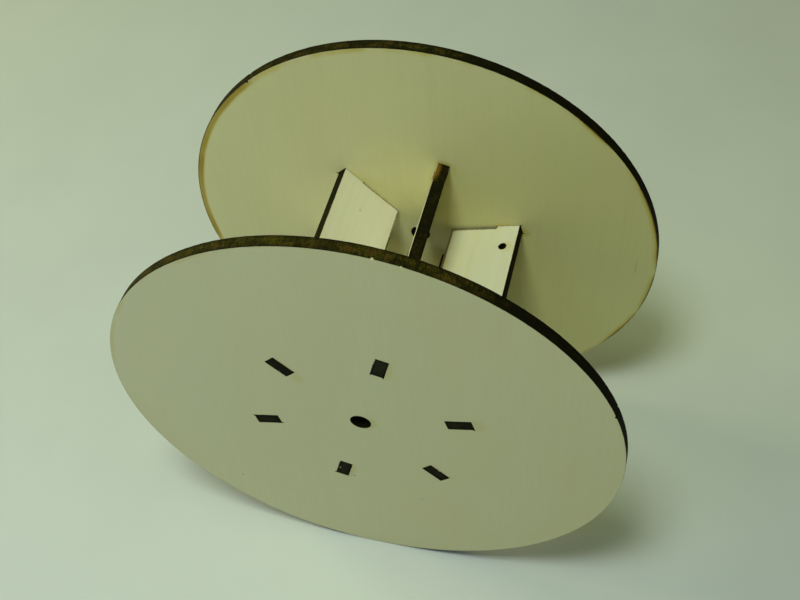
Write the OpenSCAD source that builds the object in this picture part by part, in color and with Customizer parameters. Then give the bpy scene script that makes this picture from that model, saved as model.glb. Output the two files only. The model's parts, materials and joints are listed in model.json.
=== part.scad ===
// Laser-cut plywood reel (spool): two round flanges held apart by six radial
// vanes.  Each vane is a flat board with a tab at each end, and every tab passes
// through a slot in a flange and ends flush with the flange's outer face.
//
// Frame: the reel's axis lies along Y, +Z is up, and the origin is on the axis,
// halfway between the outer faces.  The reel stands on both rims at
// Z = -flange_d / 2, and the front flange is the one on the -Y side.

/* [Sheet] */
// Thickness of the plywood sheet that every piece is cut from
ply_t = 4.8; // [4:0.1:5.5]

/* [Reel] */
// Diameter of both flanges
flange_d = 200; // [160:5:300]
// Overall width of the reel, from outer face to outer face
reel_w = 102; // [60:1:160]
// Diameter of the spindle hole in the middle of each flange
spindle_d = 8; // [4:0.5:12]
// Angle of the first vane about the axis, from +X towards +Z, in degrees
first_vane_angle = 15; // [0:1:59]

/* [Vanes] */
// Distance from the axis to a vane's inner edge
vane_inner_r = 15; // [10:1:20]
// Distance from the axis to a vane's outer edge, which the winding lies on
vane_outer_r = 45; // [40:1:60]
// Radial width of each tab, measured in from the vane's outer edge
tab_w = 10; // [6:1:15]

/* [Slots] */
// Gap left between a tab and its slot on every side
slot_gap = 0.1; // [0.05:0.05:0.3]

/* [Anchor hole] */
// Diameter of the hole that takes the start of the winding
anchor_d = 3.2; // [2:0.1:5]
// Distance from the vane's outer edge to the middle of the anchor hole
anchor_inset = 5.4; // [4:0.1:8]
// Distance from the rear flange's inner face to the middle of the anchor hole
anchor_from_flange = 11.2; // [6:0.1:30]

/* [Hidden] */

// Number of vanes around the axis, one for each vane named above
vane_count = 6;
// Number of the vane that carries the anchor hole
anchor_vane = 1;
// Length of a vane between its shoulders: the space that the winding fills
gap_w = reel_w - 2 * ply_t;
// Radial distance from the axis to a vane's shoulder, where its tabs begin
shoulder_r = vane_outer_r - tab_w;
// Distance from the middle of the reel to each flange's inner face
inner_face_y = gap_w / 2;
// How far a cutting tool reaches past the faces that it cuts through
cut_over = 1;
// Sides on the large circles and on the small holes
rim_fn = 180;
hole_fn = 48;

// Colours of the sheet's pale veneer faces, by piece
flange_color = [0.80, 0.79, 0.62];
vane_color = [0.86, 0.84, 0.64];

// Angle of a vane about the reel's axis
function vane_angle(number) = first_vane_angle + (number - 1) * 360 / vane_count;

// Puts its children at a vane's place: X runs outwards along the vane, Y along
// the reel's axis and Z through the vane's thickness.
module at_vane(number) {
    rotate([0, -vane_angle(number), 0])
        children();
}

// Outline of one slot, drawn in the flange's own plane with X outwards.
module slot_outline() {
    translate([shoulder_r - slot_gap, -ply_t / 2 - slot_gap])
        square([tab_w + 2 * slot_gap, ply_t + 2 * slot_gap]);
}

// A flange lying in the XY plane with its back at Z = 0: a disc with the spindle
// hole in the middle and one slot for each vane.
module flange_blank() {
    difference() {
        cylinder(d = flange_d, h = ply_t, $fn = rim_fn);
        translate([0, 0, -cut_over])
            cylinder(d = spindle_d, h = ply_t + 2 * cut_over, $fn = hole_fn);
        for (number = [1 : vane_count]) {
            rotate(vane_angle(number))
                translate([0, 0, -cut_over])
                    linear_extrude(ply_t + 2 * cut_over)
                        slot_outline();
        }
    }
}

// Outline of a vane, drawn with X outwards and Y along the reel's axis.  The
// outer edge is straight from tab end to tab end, and the shoulders step in
// from it by the width of the tabs.
module vane_outline() {
    translate([vane_inner_r, -gap_w / 2])
        square([vane_outer_r - vane_inner_r, gap_w]);
    translate([shoulder_r, -reel_w / 2])
        square([tab_w, reel_w]);
}

// A vane's board, centred on its own thickness.
module vane_board() {
    translate([0, 0, -ply_t / 2])
        linear_extrude(ply_t)
            vane_outline();
}

// The drill that makes the anchor hole through a vane's board.
module anchor_drill() {
    translate([vane_outer_r - anchor_inset, inner_face_y - anchor_from_flange, -ply_t / 2 - cut_over])
        cylinder(d = anchor_d, h = ply_t + 2 * cut_over, $fn = hole_fn);
}

// Flange on the -Y side.
module front_flange() {
    color(flange_color)
        translate([0, -inner_face_y, 0])
            rotate([90, 0, 0])
                flange_blank();
}

// Flange on the +Y side.
module rear_flange() {
    color(flange_color)
        translate([0, reel_w / 2, 0])
            rotate([90, 0, 0])
                flange_blank();
}

// One vane in its place.  Only the anchor vane is drilled.
module vane(number) {
    color(vane_color)
        at_vane(number)
            difference() {
                vane_board();
                if (number == anchor_vane) {
                    anchor_drill();
                }
            }
}

front_flange();
rear_flange();
vane(1);  // vane_1
vane(2);  // vane_2
vane(3);  // vane_3
vane(4);  // vane_4
vane(5);  // vane_5
vane(6);  // vane_6
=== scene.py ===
"""Looks for the laser-cut plywood reel: boards with charred cut edges, a pale table, light and a camera."""

import json
import math

import bpy
import numpy as np
from mathutils import Matrix, Vector, kdtree, noise
from mathutils.geometry import delaunay_2d_cdt


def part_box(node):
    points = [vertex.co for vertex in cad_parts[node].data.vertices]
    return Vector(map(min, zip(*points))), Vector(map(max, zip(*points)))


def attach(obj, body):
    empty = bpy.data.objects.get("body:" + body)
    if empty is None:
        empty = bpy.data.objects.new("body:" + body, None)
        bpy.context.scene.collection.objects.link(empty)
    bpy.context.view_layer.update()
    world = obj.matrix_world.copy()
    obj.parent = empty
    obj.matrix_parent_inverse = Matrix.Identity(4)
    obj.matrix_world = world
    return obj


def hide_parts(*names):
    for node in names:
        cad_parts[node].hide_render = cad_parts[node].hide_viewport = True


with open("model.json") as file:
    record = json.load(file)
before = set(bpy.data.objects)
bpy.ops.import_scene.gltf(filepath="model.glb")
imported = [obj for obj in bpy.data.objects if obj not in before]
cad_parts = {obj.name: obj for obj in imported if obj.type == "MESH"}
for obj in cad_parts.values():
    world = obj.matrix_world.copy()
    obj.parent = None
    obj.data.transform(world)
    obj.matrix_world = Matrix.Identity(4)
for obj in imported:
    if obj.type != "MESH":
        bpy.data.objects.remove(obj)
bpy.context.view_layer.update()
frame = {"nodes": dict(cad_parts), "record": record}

MM = 0.001
BODY = "root"

# ---------------------------------------------------------------- the design, read from the frame

nodes = frame["nodes"]
mounts = {mount["name"]: mount for mount in frame["record"]["mounts"]}


def node_points(name):
    """The corners of a CAD node's mesh, as rows of X, Y and Z."""
    return np.array([vertex.co for vertex in nodes[name].data.vertices])


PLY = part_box("rear_flange")[1].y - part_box("rear_flange")[0].y
OUTER_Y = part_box("rear_flange")[1].y
INNER_Y = OUTER_Y - PLY
FLANGE_R = float(np.hypot(node_points("front_flange")[:, 0], node_points("front_flange")[:, 2]).max())
SPINDLE_R = mounts["spindle_bore"]["dims"]["r_mm"] * MM
ANCHOR_R = mounts["anchor_hole"]["dims"]["r_mm"] * MM
ANCHOR = Vector(mounts["anchor_hole"]["pos_m"])
ANCHOR_VANE = 1
FIRST_ANGLE = math.atan2(ANCHOR.z, ANCHOR.x)
VANE_COUNT = sum(name.startswith("vane_") for name in nodes)


def vane_angle(number):
    """Angle of a vane about the reel's axis, from +X towards +Z."""
    return FIRST_ANGLE + (number - 1) * math.tau / VANE_COUNT


def vane_radii():
    """Radii of a vane's inner edge, of its shoulder and of its outer edge."""
    just_past = 0.1 * MM
    points = node_points("vane_1")
    outwards = points @ np.array([math.cos(FIRST_ANGLE), 0, math.sin(FIRST_ANGLE)])
    in_tab = np.abs(points[:, 1]) > INNER_Y + just_past
    return float(outwards.min()), float(outwards[in_tab].min()), float(outwards.max())


VANE_IN, SHOULDER, VANE_OUT = vane_radii()
# Gap left between a tab and its slot on every side
SLOT_GAP = 0.1 * MM

# ---------------------------------------------------------------- outlines, in a board's own plane

# Distance between points along a cut, and the radius that the beam leaves in a corner
CUT_STEP = 0.4 * MM
CORNER_R = 0.12 * MM
FEWEST_SIDES = 24
# The V that the beam leaves in a rim where it runs in and out: its depth and its half width
RUN_IN_DEPTH = 0.8 * MM
RUN_IN_WIDTH = 0.6 * MM


def circle(radius, centre=(0.0, 0.0), step=CUT_STEP):
    """A round outline, anticlockwise."""
    count = max(FEWEST_SIDES, round(math.tau * radius / step))
    turns = [math.tau * i / count for i in range(count)]
    return [Vector((centre[0] + radius * math.cos(t), centre[1] + radius * math.sin(t))) for t in turns]


def notched(points, angle):
    """A round outline with a small V bitten out of it, where the beam ran in and out."""
    towards = Vector((math.cos(angle), math.sin(angle)))
    result = []
    for point in points:
        off = abs(towards.angle_signed(point)) * point.length
        bite = RUN_IN_DEPTH * max(0.0, 1 - off / RUN_IN_WIDTH)
        result.append(point * (1 - bite / point.length))
    return result


def subdivided(points):
    """The same closed outline with no side longer than a cutting step."""
    result = []
    for i, point in enumerate(points):
        following = points[(i + 1) % len(points)]
        count = max(1, math.ceil((following - point).length / CUT_STEP))
        result += [point.lerp(following, j / count) for j in range(count)]
    return result


def polygon(corners):
    """An outline with straight sides and slightly rounded corners, cut into short steps. On a short
    side, a corner's rounding takes up only part of it."""
    most_of_side = 0.3
    points = []
    for i, corner in enumerate(corners):
        before, after = corners[i - 1], corners[(i + 1) % len(corners)]
        shorter = min((before - corner).length, (after - corner).length)
        reach = min(CORNER_R, most_of_side * shorter)
        start = corner + (before - corner).normalized() * reach
        end = corner + (after - corner).normalized() * reach
        for t in (0.0, 0.5, 1.0):
            points.append(start * (1 - t) ** 2 + corner * 2 * t * (1 - t) + end * t**2)
    return subdivided(points)


# Where the beam overran a slot's corner: (vane number, corner, direction of the overrun). The corners
# count anticlockwise from 0, at the inner end. Directions are (outwards, anticlockwise).
FRONT_OVERRUNS = [
    (1, 1, (0, -1)),
    (2, 0, (-1, 0)),
    (2, 3, (-1, 0)),
    (4, 1, (1, 0)),
    (4, 3, (-1, 0)),
    (5, 1, (0, -1)),
]
REAR_OVERRUNS = [
    (1, 1, (1, 0)),
    (1, 2, (1, 0)),
    (3, 2, (1, 0)),
    (6, 1, (1, 0)),
]
OVERRUN_LENGTH = 0.7 * MM
OVERRUN_WIDTH = 0.3 * MM


def slot_corners(number, overruns):
    """Corners of one slot, with a thin spur wherever the beam overran a corner."""
    low, high = SHOULDER - SLOT_GAP, VANE_OUT + SLOT_GAP
    half = PLY / 2 + SLOT_GAP
    half_way = 0.5
    corners = [Vector(c) for c in ((low, -half), (high, -half), (high, half), (low, half))]
    ways = {corner: Vector(way) for vane, corner, way in overruns if vane == number}
    result = []
    for i, corner in enumerate(corners):
        arriving = (corner - corners[i - 1]).normalized()
        leaving = (corners[(i + 1) % len(corners)] - corner).normalized()
        if i not in ways:
            result.append(corner)
        elif ways[i].dot(arriving) > half_way:
            result += [corner + arriving * OVERRUN_LENGTH, corner + leaving * OVERRUN_WIDTH]
        else:
            result += [corner - arriving * OVERRUN_WIDTH, corner - leaving * OVERRUN_LENGTH]
    return result


def flange_outlines(run_in, overruns):
    """Outer outline and holes of a flange, with the beam's run-in notch at an angle on its rim."""
    outlines = [notched(circle(FLANGE_R), run_in), circle(SPINDLE_R)]
    for number in range(1, VANE_COUNT + 1):
        spin = Matrix.Rotation(vane_angle(number), 2)
        outlines.append(polygon([spin @ corner for corner in slot_corners(number, overruns)]))
    return outlines


def vane_outlines(number, rear_gap):
    """Outer outline of a vane, with the anchor hole in the vane that has it. The shoulders at the
    rear stop short of the flange by a gap."""
    shoulder_y = INNER_Y - rear_gap
    corners = [(VANE_IN, -INNER_Y), (SHOULDER, -INNER_Y), (SHOULDER, -OUTER_Y), (VANE_OUT, -OUTER_Y),
               (VANE_OUT, OUTER_Y), (SHOULDER, OUTER_Y), (SHOULDER, shoulder_y), (VANE_IN, shoulder_y)]
    outlines = [polygon([Vector(corner) for corner in corners])]
    if number == ANCHOR_VANE:
        outlines.append(circle(ANCHOR_R, (math.hypot(ANCHOR.x, ANCHOR.z), ANCHOR.y), step=CUT_STEP / 2))
    return outlines


# ---------------------------------------------------------------- the laser's marks

# Half the thickness of the middle ply, so the glue lines lie at this height on either side
GLUE_Z = 1.4 * MM
# Heights of a board's faces and of a vane's ends, in millimetres
FACE = PLY / 2 / MM
END = OUTER_Y / MM
# Height of the burnt arris on each edge of a cut wall
ARRIS = 0.15 * MM
# The smoke drifts this way over the sheet while it is cut, and on the other side of a cut it reaches
# this much less far
SMOKE_DRIFT = Vector((1.0, -0.2)) * MM
SMOKE_LAG = 0.6 * MM
# The most that each kind of mark takes off a cut wall, in millimetres
WANDER_MM = 0.05
RIDGE_MM = 0.05
CRUMB_MM = 0.04
GLUE_LINE_MM = 0.02
ARRIS_MM = 0.12


def between(value, low, high):
    """Smooth step from 0 at low to 1 at high. Low may be the larger of the two."""
    t = min(1.0, max(0.0, (value - low) / (high - low)))
    return t * t * (3 - 2 * t)


def roughness(x, y, z):
    """Smooth noise from 0 to 1."""
    return 0.5 + 0.5 * noise.noise(Vector((x, y, z)))


def burnt_away(point, z, seed):
    """How much the beam took off a cut wall, in metres: its slow wander, the fine ridges that it
    leaves from face to face, crumbs of char, and the arris, which burns back the most."""
    x, y, height = point.x / MM, point.y / MM, z / MM
    wander = WANDER_MM * roughness(x * 0.06, y * 0.06, seed)
    ridges = RIDGE_MM * roughness(x * 1.1, y * 1.1, height * 0.12 + seed)
    crumbs = CRUMB_MM * roughness(x * 1.9, y * 1.9, height * 1.7 + seed)
    glue_line = GLUE_LINE_MM * between(abs(abs(z) - GLUE_Z), 0.0, 0.1 * MM)
    at_arris = between(abs(z), PLY / 2 - ARRIS, PLY / 2)
    arris = ARRIS_MM * roughness(x * 0.5, y * 0.5, seed + 9) * at_arris
    return (wander + ridges + crumbs + glue_line + arris) * MM


def inside_spot(point, centre, size):
    """1 at a spot's centre, falling to 0 at its edge. Its centre and half sizes are in millimetres."""
    off = Vector([(p / MM - c) / s for p, c, s in zip(point, centre, size)])
    return between(off.length, 1.0, 0.3)


# ---------------------------------------------------------------- boards

# Heights of the rows of points across a cut wall
HALF_ROWS = [0.0, 0.45 * MM, 0.95 * MM, GLUE_Z - 0.06 * MM, GLUE_Z + 0.06 * MM, 1.85 * MM, PLY / 2 - ARRIS]
WALL_ROWS = [-z for z in reversed(HALF_ROWS[1:])] + HALF_ROWS
# Depths behind the cut edge where rings of points carry the marks on the faces. A ring keeps one
# point in as many as its depth in steps.
RING_DEPTHS = [0.35 * MM, 0.8 * MM, 1.5 * MM, 2.5 * MM, 4.0 * MM]
RING_STEP = 1.0 * MM
# A ring's points stay this share of its depth away from every cut, and the grid's points stay this
# many times the last ring's depth away
RING_CLEAR = 0.85
GRID_CLEAR = 1.3
GRID_STEP = 5.0 * MM
# A chip takes this much off the thickness
CHIP_DEPTH = 0.25 * MM


def normals_of(outline):
    """Unit vectors at each point of a closed outline, to the right of its direction."""
    result = []
    for i, point in enumerate(outline):
        along = (outline[(i + 1) % len(outline)] - outline[i - 1]).normalized()
        result.append(Vector((along.y, -along.x)))
    return result


def nearest(outlines):
    """A function that gives the distance from a place to the nearest cut edge."""
    points = [p for outline in outlines for p in outline]
    tree = kdtree.KDTree(len(points))
    for i, point in enumerate(points):
        tree.insert(point.to_3d(), i)
    tree.balance()
    return lambda place: tree.find(place.to_3d())[2]


def ring_points(outlines, sides, distance):
    """Rings of points inside the board that follow its outlines, sparser the deeper they lie."""
    for outline, side in zip(outlines, sides):
        placed = list(zip(outline, normals_of(outline)))
        for depth in RING_DEPTHS:
            for point, normal in placed[:: max(1, round(depth / RING_STEP))]:
                place = point - normal * side * depth
                if distance(place) > RING_CLEAR * depth:
                    yield place


def grid_points(outline, distance):
    """An even triangular grid over an outline's box, clear of the rings. Points outside the outline are
    dropped later, with their triangles."""
    low = Vector((min(p.x for p in outline), min(p.y for p in outline)))
    high = Vector((max(p.x for p in outline), max(p.y for p in outline)))
    row_height = GRID_STEP * math.sqrt(0.75)
    for row in range(int((high.y - low.y) / row_height) + 1):
        for column in range(int((high.x - low.x) / GRID_STEP) + 1):
            place = Vector((low.x + (column + row % 2 / 2) * GRID_STEP, low.y + row * row_height))
            if distance(place) > GRID_CLEAR * RING_DEPTHS[-1]:
                yield place


def is_inside(point, outline):
    """Whether a point lies inside a closed outline, by counting the sides to its right."""
    crossings = 0
    for a, b in zip(outline, outline[1:] + outline[:1]):
        if (a.y > point.y) != (b.y > point.y):
            crossings += point.x < a.x + (point.y - a.y) * (b.x - a.x) / (b.y - a.y)
    return crossings % 2 == 1


def filled(loops, inner):
    """Fills the first loop, leaving the others open. Returns the points in use, the triangles, and for
    each loop the places of its own points in that list."""
    coords = [p for loop in loops for p in loop] + inner
    edges, starts, start = [], [], 0
    for loop in loops:
        edges += [(start + i, start + (i + 1) % len(loop)) for i in range(len(loop))]
        starts.append(start)
        start += len(loop)
    triangles_inside = 1
    nearest_points = 1e-9
    points, _, triangles, origins, _, _ = delaunay_2d_cdt(coords, edges, [], triangles_inside, nearest_points)
    place = {source: i for i, sources in enumerate(origins) for source in sources}
    rims = [[place[s + i] for i in range(len(loop))] for s, loop in zip(starts, loops)]
    for loop, rim in zip(loops[1:], rims[1:]):
        corners = set(rim)
        triangles = [t for t in triangles if not corners.issuperset(t)
                     or not is_inside(sum((points[i] for i in t), Vector((0, 0))) / 3, loop)]
    used = sorted({i for t in triangles for i in t})
    number = {old: new for new, old in enumerate(used)}
    triangles = [[number[i] for i in t] for t in triangles]
    return [points[i] for i in used], triangles, [[number[i] for i in rim] for rim in rims]


def solid_shape(outlines, sides, inner, seed):
    """Points and faces of a board, and whether each face is part of a cut wall. The faces of the sheet
    come first, and then the wall of each outline, row by row."""
    outwards = [[n * side for n in normals_of(o)] for o, side in zip(outlines, sides)]
    verts, faces, on_wall = [], [], []

    def cut_row(i, z):
        return [p - n * burnt_away(p, z, seed) for p, n in zip(outlines[i], outwards[i])]

    edges = {}
    for z in (-PLY / 2, PLY / 2):
        points, triangles, rims = filled([cut_row(i, z) for i in range(len(outlines))], inner)
        first = len(verts)
        verts += [Vector((p.x, p.y, z)) for p in points]
        faces += [[first + i for i in (t if z > 0 else reversed(t))] for t in triangles]
        on_wall += [False] * len(triangles)
        edges[z > 0] = [[first + i for i in rim] for rim in rims]
    for i, side in enumerate(sides):
        rows = [edges[False][i]]
        for z in WALL_ROWS:
            row = cut_row(i, z)
            rows.append(range(len(verts), len(verts) + len(row)))
            verts += [Vector((p.x, p.y, z)) for p in row]
        rows.append(edges[True][i])
        quads = wall_quads(rows, side)
        faces += quads
        on_wall += [True] * len(quads)
    return verts, faces, on_wall


def wall_quads(rows, side):
    """Four-sided faces between rows of points that run around a cut wall, facing out of the board."""
    quads = []
    for low, high in zip(rows, rows[1:]):
        for a, b in zip(range(len(low)), list(range(1, len(low))) + [0]):
            quad = [low[a], low[b], high[b], high[a]]
            quads.append(quad if side > 0 else quad[::-1])
    return quads


def board(name, outlines, seed, paints, chips=(), warp=0.0):
    """A flat board cut from the sheet, lying in its own XY plane with its thickness along Z.
    Its faces take the first material and its cut walls the second. Each paint is a function of a
    point that becomes an attribute of the mesh. A chip is a centre and half sizes in millimetres."""
    sides = [1] + [-1] * (len(outlines) - 1)
    distance = nearest(outlines)
    inner = list(ring_points(outlines, sides, distance)) + list(grid_points(outlines[0], distance))
    verts, faces, on_wall = solid_shape(outlines, sides, inner, seed)
    fresh = [max([inside_spot(v, *chip) for chip in chips], default=0.0) for v in verts]
    shaped = [flaked(v, f) + bowed(v, warp, seed) for v, f in zip(verts, fresh)]
    mesh = bpy.data.meshes.new(name)
    mesh.from_pydata(shaped, [], faces)
    mesh.polygons.foreach_set("material_index", [int(w) for w in on_wall])
    mesh.polygons.foreach_set("use_smooth", on_wall)
    cut = [distance(v.to_2d()) for v in verts]
    smoke = [distance(v.to_2d() - SMOKE_DRIFT) for v in verts]
    paint(mesh, "fresh", fresh)
    paint(mesh, "cut_mm", [c / MM for c in cut])
    paint(mesh, "smoke_mm", [min(c + SMOKE_LAG, s) / MM for c, s in zip(cut, smoke)])
    for title, function in paints.items():
        paint(mesh, title, [function(v) for v in verts])
    mesh.update()
    mesh.validate()
    piece = bpy.data.objects.new(name, mesh)
    bpy.context.scene.collection.objects.link(piece)
    return piece


def paint(mesh, title, values):
    """Stores one number for each point of a mesh."""
    mesh.attributes.new(title, "FLOAT", "POINT").data.foreach_set("value", values)


def flaked(point, fresh):
    """A point lowered into the board where the surface has flaked off."""
    return point - Vector((0, 0, math.copysign(CHIP_DEPTH * fresh, point.z)))


def bowed(point, warp, seed):
    """The slow waviness of thin plywood, growing from nothing at the hub to its most at the rim."""
    waves_per_metre = 9
    reach = point.to_2d().length / FLANGE_R
    place = Vector((point.x * waves_per_metre, point.y * waves_per_metre, seed))
    return Vector((0, 0, warp * reach**2 * noise.noise(place)))


# ---------------------------------------------------------------- materials


class Shader:
    """A material whose nodes are made by short calls. Inputs may be numbers, colours or sockets."""

    def __init__(self, name):
        self.material = bpy.data.materials.new(name)
        self.material.use_nodes = True
        self.tree = self.material.node_tree
        self.surface = self.tree.nodes["Principled BSDF"]

    def connect(self, value, socket):
        if isinstance(value, bpy.types.NodeSocket):
            self.tree.links.new(value, socket)
        else:
            socket.default_value = value

    def add(self, kind, inputs=None, **settings):
        node = self.tree.nodes.new(kind)
        for key, value in settings.items():
            setattr(node, key, value)
        for key, value in (inputs or {}).items():
            self.connect(value, node.inputs[key])
        return node

    def math(self, operation, a, b=0.0):
        return self.add("ShaderNodeMath", {0: a, 1: b}, operation=operation).outputs[0]

    def times(self, *factors):
        product = factors[0]
        for factor in factors[1:]:
            product = self.math("MULTIPLY", product, factor)
        return product

    def noise(self, vector, detail=2.0, roughness=0.5, distortion=0.0):
        inputs = {"Vector": vector, "Scale": 1.0, "Detail": detail, "Roughness": roughness,
                  "Distortion": distortion}
        return self.add("ShaderNodeTexNoise", inputs).outputs["Fac"]

    def remap(self, value, low, high, to_low=0.0, to_high=1.0):
        inputs = {"Value": value, "From Min": low, "From Max": high, "To Min": to_low, "To Max": to_high}
        return self.add("ShaderNodeMapRange", inputs, interpolation_type="SMOOTHSTEP").outputs["Result"]

    def mix(self, factor, a, b):
        node = self.add("ShaderNodeMix", data_type="RGBA")
        self.connect(factor, node.inputs[0])
        self.connect(a, node.inputs[6])
        self.connect(b, node.inputs[7])
        return node.outputs[2]

    def place(self, stretch=(1, 1, 1), shift=(0, 0, 0)):
        """Places in the board's own frame, in millimetres, squeezed by stretch and then shifted."""
        where = self.add("ShaderNodeTexCoord").outputs["Object"]
        scale = [1 / (MM * s) for s in stretch]
        return self.add("ShaderNodeMapping", {"Vector": where, "Location": shift, "Scale": scale}).outputs[0]

    def attribute(self, name):
        return self.add("ShaderNodeAttribute", attribute_name=name).outputs["Fac"]

    def spot(self, centre, size):
        """1 at a place, falling to 0 at its edge. The centre and the half sizes are in millimetres."""
        away = [-c / s for c, s in zip(centre, size)]
        length = self.add("ShaderNodeVectorMath", {0: self.place(size, away)}, operation="LENGTH")
        return self.remap(length.outputs["Value"], 1.0, 0.4)

    def finish(self, colour, roughness, specular, height, depth):
        self.connect(colour, self.surface.inputs["Base Color"])
        self.surface.inputs["Roughness"].default_value = roughness
        self.surface.inputs["Specular IOR Level"].default_value = specular
        bump = self.add("ShaderNodeBump", {"Height": height, "Distance": depth, "Strength": 0.6})
        self.connect(bump.outputs[0], self.surface.inputs["Normal"])
        return self.material


# Colours of bare wood, of smoke and of marks on it
VENEER_PALE = (0.72, 0.665, 0.53, 1)
VENEER_FRONT = (0.66, 0.63, 0.365, 1)
VENEER_REAR = (0.68, 0.64, 0.33, 1)
VENEER_WARM = (0.665, 0.58, 0.31, 1)
VENEER_LINE = (0.53, 0.44, 0.235, 1)
SMOKE_GOLD = (0.58, 0.46, 0.08, 1)
SMOKE_AMBER = (0.36, 0.24, 0.025, 1)
SCORCH_DARK = (0.085, 0.055, 0.015, 1)
MARK_GREY = (0.22, 0.19, 0.12, 1)
BLUSH = (0.72, 0.55, 0.38, 1)
# Colours of cut walls
CHAR_BLACK = (0.006, 0.005, 0.002, 1)
CHAR_BROWN = (0.052, 0.041, 0.004, 1)
CHAR_AMBER = (0.24, 0.11, 0.01, 1)
CHAR_RUST = (0.075, 0.028, 0.008, 1)
CHAR_ASH = (0.034, 0.037, 0.024, 1)

# Sizes of the patterns in the veneer, in millimetres across the grain, along it and through the sheet
CLOUD_SIZE = (26, 70, 60)
STREAK_SIZE = (2.2, 90, 30)
FIBRE_SIZE = (0.3, 11, 3)
PORE_SIZE = (0.25, 2.4, 2.4)
PATCH_SIZE = (11, 11, 4)
RAGGED_SIZE = (1.2, 1.2, 1.2)
# Distances from a cut, in millimetres, where gold, amber and the burn fade out and where they are full
GOLD_REACH = (2.8, 0.3)
AMBER_REACH = (1.3, 0.3)
BURN_REACH = (0.6, 0.22)
# How much closer to the cut a sear counts as being, and how far the burn's edge wanders
SEAR_PULL_MM = 0.6
RAGGED_MM = 0.55
# Sizes of the patterns in char, in millimetres. The ridges run from face to face.
RIDGE_SIZE = (0.35, 0.35, 6)
CLUMP_SIZE = (0.6, 0.6, 1.1)
BLOTCH_SIZE = (5, 5, 2.5)
# Depth of the relief of veneer and of char
GRAIN_DEPTH = 0.04 * MM
CHAR_DEPTH = 0.08 * MM


def veneer(name, seed, plain, smoke, marks=()):
    """Bare rotary-cut veneer of a plain colour, faintly streaked along Y, golden where smoke drifted
    over it, amber in a sear, and dark right beside a cut. A mark is a colour and its strength, a
    centre, and its half sizes in millimetres."""
    s = Shader(name)
    shift = (seed * 37.0, seed * 91.0, seed * 13.0)
    clouds = s.remap(s.noise(s.place(CLOUD_SIZE, shift)), 0.35, 0.75)
    streaks = s.noise(s.place(STREAK_SIZE, shift), 4.0, 0.6, 0.4)
    fibres = s.noise(s.place(FIBRE_SIZE, shift), 3.0, 0.65)
    pores = s.noise(s.place(PORE_SIZE, shift), 1.0)
    colour = s.mix(s.times(clouds, 0.35), plain, VENEER_WARM)
    colour = s.mix(s.times(s.remap(streaks, 0.42, 0.75), 0.35), colour, VENEER_WARM)
    colour = s.mix(s.times(s.remap(fibres, 0.5, 0.8), 0.16), colour, VENEER_LINE)
    colour = s.mix(s.times(s.remap(pores, 0.68, 0.78), 0.3), colour, VENEER_LINE)
    for mark, centre, size in marks:
        colour = s.mix(s.times(s.spot(centre, size), mark[3]), colour, (*mark[:3], 1))
    patches = s.remap(s.noise(s.place(PATCH_SIZE, shift), 3.0), 0.38, 0.66)
    from_cut = s.math("ADD", s.attribute("smoke_mm"), s.attribute("clean_mm"))
    from_cut = s.math("SUBTRACT", from_cut, s.times(s.attribute("sear"), SEAR_PULL_MM))
    gilt = s.times(s.math("MAXIMUM", s.times(patches, 0.8), s.attribute("sear")), smoke)
    colour = s.mix(s.times(s.remap(from_cut, *GOLD_REACH), gilt), colour, SMOKE_GOLD)
    colour = s.mix(s.times(s.remap(from_cut, *AMBER_REACH), s.attribute("sear"), 0.8), colour, SMOKE_AMBER)
    ragged = s.times(s.noise(s.place(RAGGED_SIZE, shift), 3.0), RAGGED_MM)
    burnt = s.math("SUBTRACT", s.math("ADD", s.attribute("cut_mm"), ragged), s.attribute("soot_mm"))
    burn = s.remap(burnt, *BURN_REACH)
    colour = s.mix(s.times(burn, 0.85), colour, SCORCH_DARK)
    colour = s.mix(s.remap(s.attribute("fresh"), 0.2, 0.7), colour, VENEER_PALE)
    return s.finish(colour, 0.6, 0.3, s.math("ADD", fibres, s.times(streaks, 0.5)), GRAIN_DEPTH)


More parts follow.
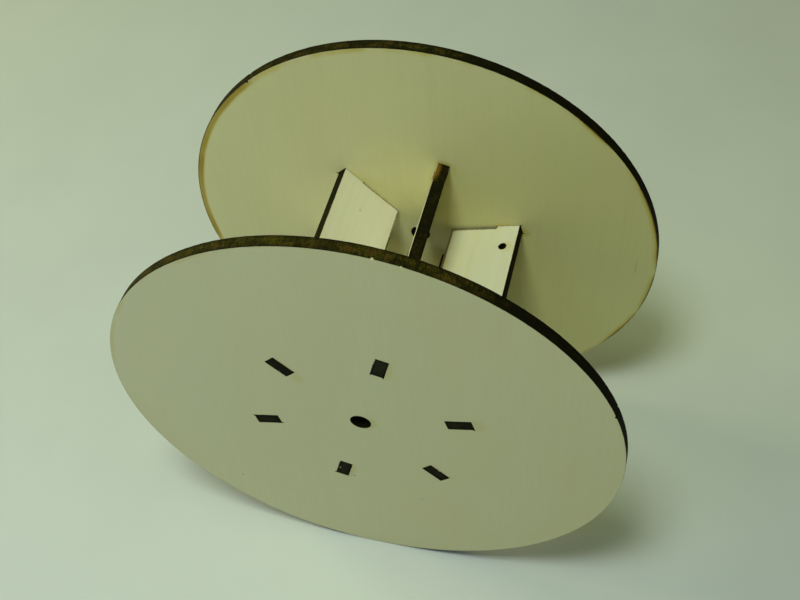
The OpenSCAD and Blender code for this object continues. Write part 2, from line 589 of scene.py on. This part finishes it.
def charred(name, seed):
    """A laser-cut wall: black char that is browner where the attribute toast says so, with patches of
    rust, blacker at the glue lines and along both faces, amber where the attribute glow says so, grey
    with ash where the attribute ash says so, and bare wood where the attribute fresh says so."""
    s = Shader(name)
    shift = (seed * 53.0, seed * 29.0, seed * 71.0)
    ridges = s.noise(s.place(RIDGE_SIZE, shift), 3.0, 0.6)
    crumbs = s.noise(s.place(CLUMP_SIZE, shift), 4.0, 0.65)
    blotches = s.noise(s.place(BLOTCH_SIZE, shift), 2.0)
    height = s.math("ABSOLUTE", s.add("ShaderNodeSeparateXYZ", {0: s.place()}).outputs["Z"])
    middle = s.remap(height, FACE - 0.1, FACE - 0.8, 0.12, 1.0)
    from_glue = s.math("ABSOLUTE", s.math("SUBTRACT", height, GLUE_Z / MM))
    glue_line = s.remap(from_glue, 0.02, 0.16, 0.35, 1.0)
    mottle = s.times(s.remap(crumbs, 0.3, 0.7, 0.35, 1.3), s.remap(ridges, 0.3, 0.7, 0.45, 1.4))
    mottle = s.times(mottle, s.remap(blotches, 0.35, 0.65, 0.6, 1.2))
    brownness = s.times(s.attribute("brownness"), middle, glue_line, mottle)
    colour = s.mix(s.remap(brownness, 0.0, 1.0), CHAR_BLACK, CHAR_BROWN)
    colour = s.mix(s.remap(brownness, 1.0, 2.6), colour, CHAR_AMBER)
    rust = s.times(s.remap(blotches, 0.58, 0.7), s.attribute("brownness"), middle, 0.6)
    colour = s.mix(rust, colour, CHAR_RUST)
    glow = s.times(s.attribute("glow"), s.remap(crumbs, 0.35, 0.6, 0.45, 1.0))
    colour = s.mix(glow, colour, CHAR_AMBER)
    ash = s.times(s.attribute("ash"), s.remap(crumbs, 0.35, 0.65, 0.3, 1.0), middle)
    colour = s.mix(ash, colour, CHAR_ASH)
    colour = s.mix(s.remap(s.attribute("fresh"), 0.3, 0.8), colour, VENEER_LINE)
    return s.finish(colour, 0.7, 0.03, s.math("ADD", ridges, crumbs), CHAR_DEPTH)


# ---------------------------------------------------------------- pieces

# How far smoke has to come before it shows: on a flange's clean side, and on a vane
CLEAN_SIDE_MM = 1.3
CLEAN_VANE_MM = 0.4
# How strongly smoke gilds a flange and a vane
FLANGE_SMOKE = 0.9
VANE_SMOKE = 0.6
# How brown char is where nothing else is said: on a flange and on a vane
FLANGE_BROWNNESS = 0.15
VANE_BROWNNESS = 0.3
# Distances from the rim where a sear ends and where it is full, and the soot that comes with it
SEAR_END = 3.2 * MM
SEAR_FULL = 2.6 * MM
SEAR_SOOT_MM = 0.35
FLANGE_WARP = 0.2 * MM


def finish_board(piece, node, materials):
    """Gives a board its materials and lets it stand for its CAD node."""
    for material in materials:
        piece.data.materials.append(material)
    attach(piece, BODY)
    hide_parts(node)


def off_sector(point, middle):
    """Degrees between a point's direction from the board's own middle and the middle of a sector."""
    turn = math.degrees(math.atan2(point.y, point.x))
    return abs((turn - middle + 180) % 360 - 180)


def make_flange(node, middle_y, smoky_side, seed, plain, run_in, overruns, brownness, sears, chips, marks):
    """A flange of a plain colour. Its own X is the reel's X, its own Y is the reel's Z, and its own Z looks
    to the front. The smoky side is 1 or -1, along its own Z. The beam ran in at an angle, in degrees. The
    sector of its rim that is coloured brown and not black comes as its middle and half width, in degrees, and
    how brown it is. Sears are the middles and half widths of the sectors where smoke gilded the smoky side
    along the rim."""

    def clean_mm(point):
        return 0.0 if point.z * smoky_side > 0 else CLEAN_SIDE_MM

    # The rim's char is coloured browner over the given sector than at the base level elsewhere.
    def brownness_at(point):
        middle, half_width, most = brownness
        share = between(off_sector(point, middle), half_width + 10, half_width - 10)
        return FLANGE_BROWNNESS + (most - FLANGE_BROWNNESS) * share

    def sear(point):
        near_rim = between(point.to_2d().length, FLANGE_R - SEAR_END, FLANGE_R - SEAR_FULL)
        uneven = 0.7 + 0.7 * roughness(point.x / MM * 0.12, point.y / MM * 0.12, seed)
        in_sector = max([between(off_sector(point, m), w + 4, w - 4) for m, w in sears], default=0.0)
        return uneven * near_rim * in_sector

    def soot_mm(point):
        return SEAR_SOOT_MM * sear(point) if point.z * smoky_side > 0 else 0.0

    paints = {"clean_mm": clean_mm, "brownness": brownness_at, "sear": sear, "soot_mm": soot_mm}
    outlines = flange_outlines(math.radians(run_in), overruns)
    piece = board(node + "_ply", outlines, seed, paints, chips, FLANGE_WARP)
    piece.matrix_world = Matrix.Translation((0, middle_y, 0)) @ Matrix.Rotation(math.pi / 2, 4, "X")
    materials = [veneer(node + "_veneer", seed, plain, FLANGE_SMOKE, marks), charred(node + "_char", seed)]
    finish_board(piece, node, materials)


def make_vane(number, seed, rear_gap=0.15 * MM, soot=0.0, ashen=0.15, glows=(), chips=(), marks=()):
    """A vane. Its own X runs outwards from the axis and its own Y along the axis. Soot is how much
    wider the burn is along its rear shoulder, in millimetres. Ashen is how grey the ends of its tabs
    are. A glow is a place on its outer edge that the beam only toasted: its centre and half sizes in
    millimetres."""
    node = f"vane_{number}"

    def glow(point):
        return max([inside_spot(point, *place) for place in glows], default=0.0)

    def ash(point):
        in_end = between(abs(point.y), OUTER_Y - 0.5 * MM, OUTER_Y - 0.3 * MM)
        return ashen * in_end * between(min(VANE_OUT - point.x, point.x - SHOULDER), 0.1 * MM, 0.9 * MM)

    def soot_mm(point):
        return soot if point.y > 0 and point.x < SHOULDER + 0.3 * MM else 0.0

    paints = {"clean_mm": lambda point: CLEAN_VANE_MM, "brownness": lambda point: VANE_BROWNNESS,
              "glow": glow, "ash": ash, "soot_mm": soot_mm}
    piece = board(node + "_ply", vane_outlines(number, rear_gap), seed, paints, chips)
    piece.matrix_world = Matrix.Rotation(-vane_angle(number), 4, "Y")
    wood = veneer(node + "_veneer", seed, VENEER_PALE, VANE_SMOKE, marks)
    materials = [wood, charred(node + "_char", seed)]
    finish_board(piece, node, materials)


# Chips and marks on the flanges: centres and half sizes in millimetres in a flange's own frame
FRONT_CHIPS = [
    ((12.5, 99.0, FACE - 0.2), (0.9, 0.4, 0.6)),
    ((21.8, 97.4, FACE), (0.5, 0.4, 0.3)),
]
FRONT_MARKS = [
    ((*MARK_GREY[:3], 0.7), (-58.3, -61.4, FACE), (0.7, 0.5, 1)),
    ((*MARK_GREY[:3], 0.6), (21.6, -52.2, FACE), (0.5, 0.5, 1)),
    ((*MARK_GREY[:3], 0.6), (56.7, -61.4, FACE), (0.5, 0.4, 1)),
    ((*SCORCH_DARK[:3], 0.9), (-6.5, -43.0, FACE), (0.9, 0.35, 1)),
    ((*SMOKE_GOLD[:3], 0.35), (4.6, 0.8, FACE), (2.8, 4.0, 1)),
    ((*SMOKE_GOLD[:3], 0.28), (13.2, 38.5, FACE), (3.0, 8.0, 1)),
    ((*SMOKE_GOLD[:3], 0.28), (45.3, 12.0, FACE), (3.4, 5.0, 1)),
    ((*SMOKE_GOLD[:3], 0.3), (-22.3, 22.8, FACE), (3.5, 3.5, 1)),
    ((*SMOKE_GOLD[:3], 0.25), (-6.8, -38.0, FACE), (3.0, 5.0, 1)),
]
REAR_MARKS = [
    ((*MARK_GREY[:3], 0.25), (91.6, -1.0, FACE), (0.4, 6.5, 1)),
    ((*BLUSH[:3], 0.35), (76.4, 31.7, FACE), (2.2, 2.6, 1)),
    ((*BLUSH[:3], 0.35), (78.2, 3.4, FACE), (1.8, 2.4, 1)),
]
MIDDLE_Y = INNER_Y + PLY / 2
# Both rims are coloured browner over a sector that faces up and a little to the left, around 108 degrees on
# the front flange and 112 degrees on the rear.
make_flange("front_flange", -MIDDLE_Y, -1, 1.3, VENEER_FRONT, 20, FRONT_OVERRUNS, (108, 46, 0.75), [],
            FRONT_CHIPS, FRONT_MARKS)
make_flange("rear_flange", MIDDLE_Y, 1, 2.7, VENEER_REAR, 131.5, REAR_OVERRUNS, (112, 36, 0.5),
            [(163, 32), (46, 5), (14, 14), (-10, 7), (-27, 8)], [], REAR_MARKS)
make_vane(1, 4.1, rear_gap=0.4 * MM, soot=1.0)
make_vane(2, 5.1, ashen=0.55, glows=[((45, 43, 2.4), (3, 8, 2.4))])
make_vane(3, 6.1, soot=0.3, chips=[((38.6, -END, FACE), (0.7, 0.6, 0.4))],
          marks=[((*MARK_GREY[:3], 0.4), (32.2, 32.8, -FACE), (0.7, 0.7, 1))])
make_vane(4, 7.1)
make_vane(5, 8.1, ashen=0.45,
          chips=[((40.5, -END, -FACE + 0.5), (1.2, 0.5, 0.4)), ((42.8, -END, -0.3), (0.4, 0.5, 0.3))])
make_vane(6, 9.1, chips=[((39.5, -END, FACE), (0.7, 0.6, 0.3))])

# ---------------------------------------------------------------- stage, light and camera

TABLE_COLOUR = (0.60, 0.60, 0.60, 1)
TABLE_SHADE = (0.58, 0.58, 0.58, 1)
TABLE_RADIUS = 12.0
TABLE_SIDES = 64
ROOM_TINT = (0.86, 1.0, 0.42)


def make_table():
    """A wide round pale table top that both rims stand on."""
    turns = [math.tau * i / TABLE_SIDES for i in range(TABLE_SIDES)]
    rim = [(TABLE_RADIUS * math.cos(t), TABLE_RADIUS * math.sin(t), 0) for t in turns]
    mesh = bpy.data.meshes.new("table")
    mesh.from_pydata(rim, [], [range(TABLE_SIDES)])
    table = bpy.data.objects.new("table", mesh)
    bpy.context.scene.collection.objects.link(table)
    table.location = (0, 0, -FLANGE_R)
    s = Shader("table_top")
    mottle = s.noise(s.place((60, 60, 60)), 3.0)
    colour = s.mix(s.remap(mottle, 0.3, 0.7), TABLE_COLOUR, TABLE_SHADE)
    mesh.materials.append(s.finish(colour, 0.55, 0.3, mottle, 0.0))


def make_area_light(name, place, size, power, colour):
    """A square soft light that looks at the middle of the reel."""
    data = bpy.data.lights.new(name, "AREA")
    data.size = size
    data.energy = power
    data.color = colour
    light = bpy.data.objects.new(name, data)
    light.location = place
    light.rotation_euler = (-Vector(place)).to_track_quat("-Z", "Y").to_euler()
    bpy.context.scene.collection.objects.link(light)


def make_world(strength):
    """Even light from the whole room."""
    world = bpy.data.worlds.new("room")
    world.use_nodes = True
    background = world.node_tree.nodes["Background"]
    background.inputs["Color"].default_value = (*ROOM_TINT, 1)
    background.inputs["Strength"].default_value = strength
    bpy.context.scene.world = world


VIEW_AZIMUTH = math.radians(18.63)
VIEW_ELEVATION = math.radians(51.81)
VIEW_ROLL = math.radians(-5.64)
VIEW_DISTANCE = 472.9 * MM
VIEW_AIM = Vector((1.3, 6.0, 4.1)) * MM
LENS_MM = 52.5
SENSOR_MM = 36


def make_camera():
    """The photograph's point of view: above the front flange, a little to the right, slightly rolled."""
    level = math.cos(VIEW_ELEVATION)
    east, north = -math.sin(VIEW_AZIMUTH) * level, math.cos(VIEW_AZIMUTH) * level
    away = Vector((east, north, -math.sin(VIEW_ELEVATION)))
    right = away.cross(Vector((0, 0, 1))).normalized()
    right.rotate(Matrix.Rotation(VIEW_ROLL, 3, -away))
    above = right.cross(away)
    data = bpy.data.cameras.new("camera")
    data.lens = LENS_MM
    data.sensor_width = SENSOR_MM
    data.clip_start = 0.01
    camera = bpy.data.objects.new("camera", data)
    axes = Matrix((right, above, -away)).transposed().to_4x4()
    camera.matrix_world = Matrix.Translation(VIEW_AIM - away * VIEW_DISTANCE) @ axes
    bpy.context.scene.collection.objects.link(camera)
    bpy.context.scene.camera = camera


WORLD_STRENGTH = 0.1
# Name, place and size in metres, power in watts and colour of each light
LIGHTS = [
    ("key", (-0.05, -0.27, 0.85), 0.2, 4.2, (0.84, 1.0, 0.86)),
    ("ceiling", (0.0, -0.2, 1.1), 0.3, 1.6, (0.75, 1.0, 0.55)),
    ("left_wall", (-1.4, 0.1, 0.6), 0.6, 11.0, (0.9, 1.0, 0.49)),
    ("low_left", (-0.42, -0.42, 0.14), 0.2, 0.68, (0.42, 0.52, 1.0)),
    ("window", (-0.8, -0.5, 1.2), 0.5, 1.1, (0.25, 0.35, 1.0)),
    ("back_wall", (-0.8, 1.0, 0.4), 0.6, 0.8, (0.9, 1.0, 0.6)),
]
make_table()
make_world(WORLD_STRENGTH)
for light in LIGHTS:
    make_area_light(*light)
make_camera()
bpy.context.scene.view_settings.view_transform = "Standard"
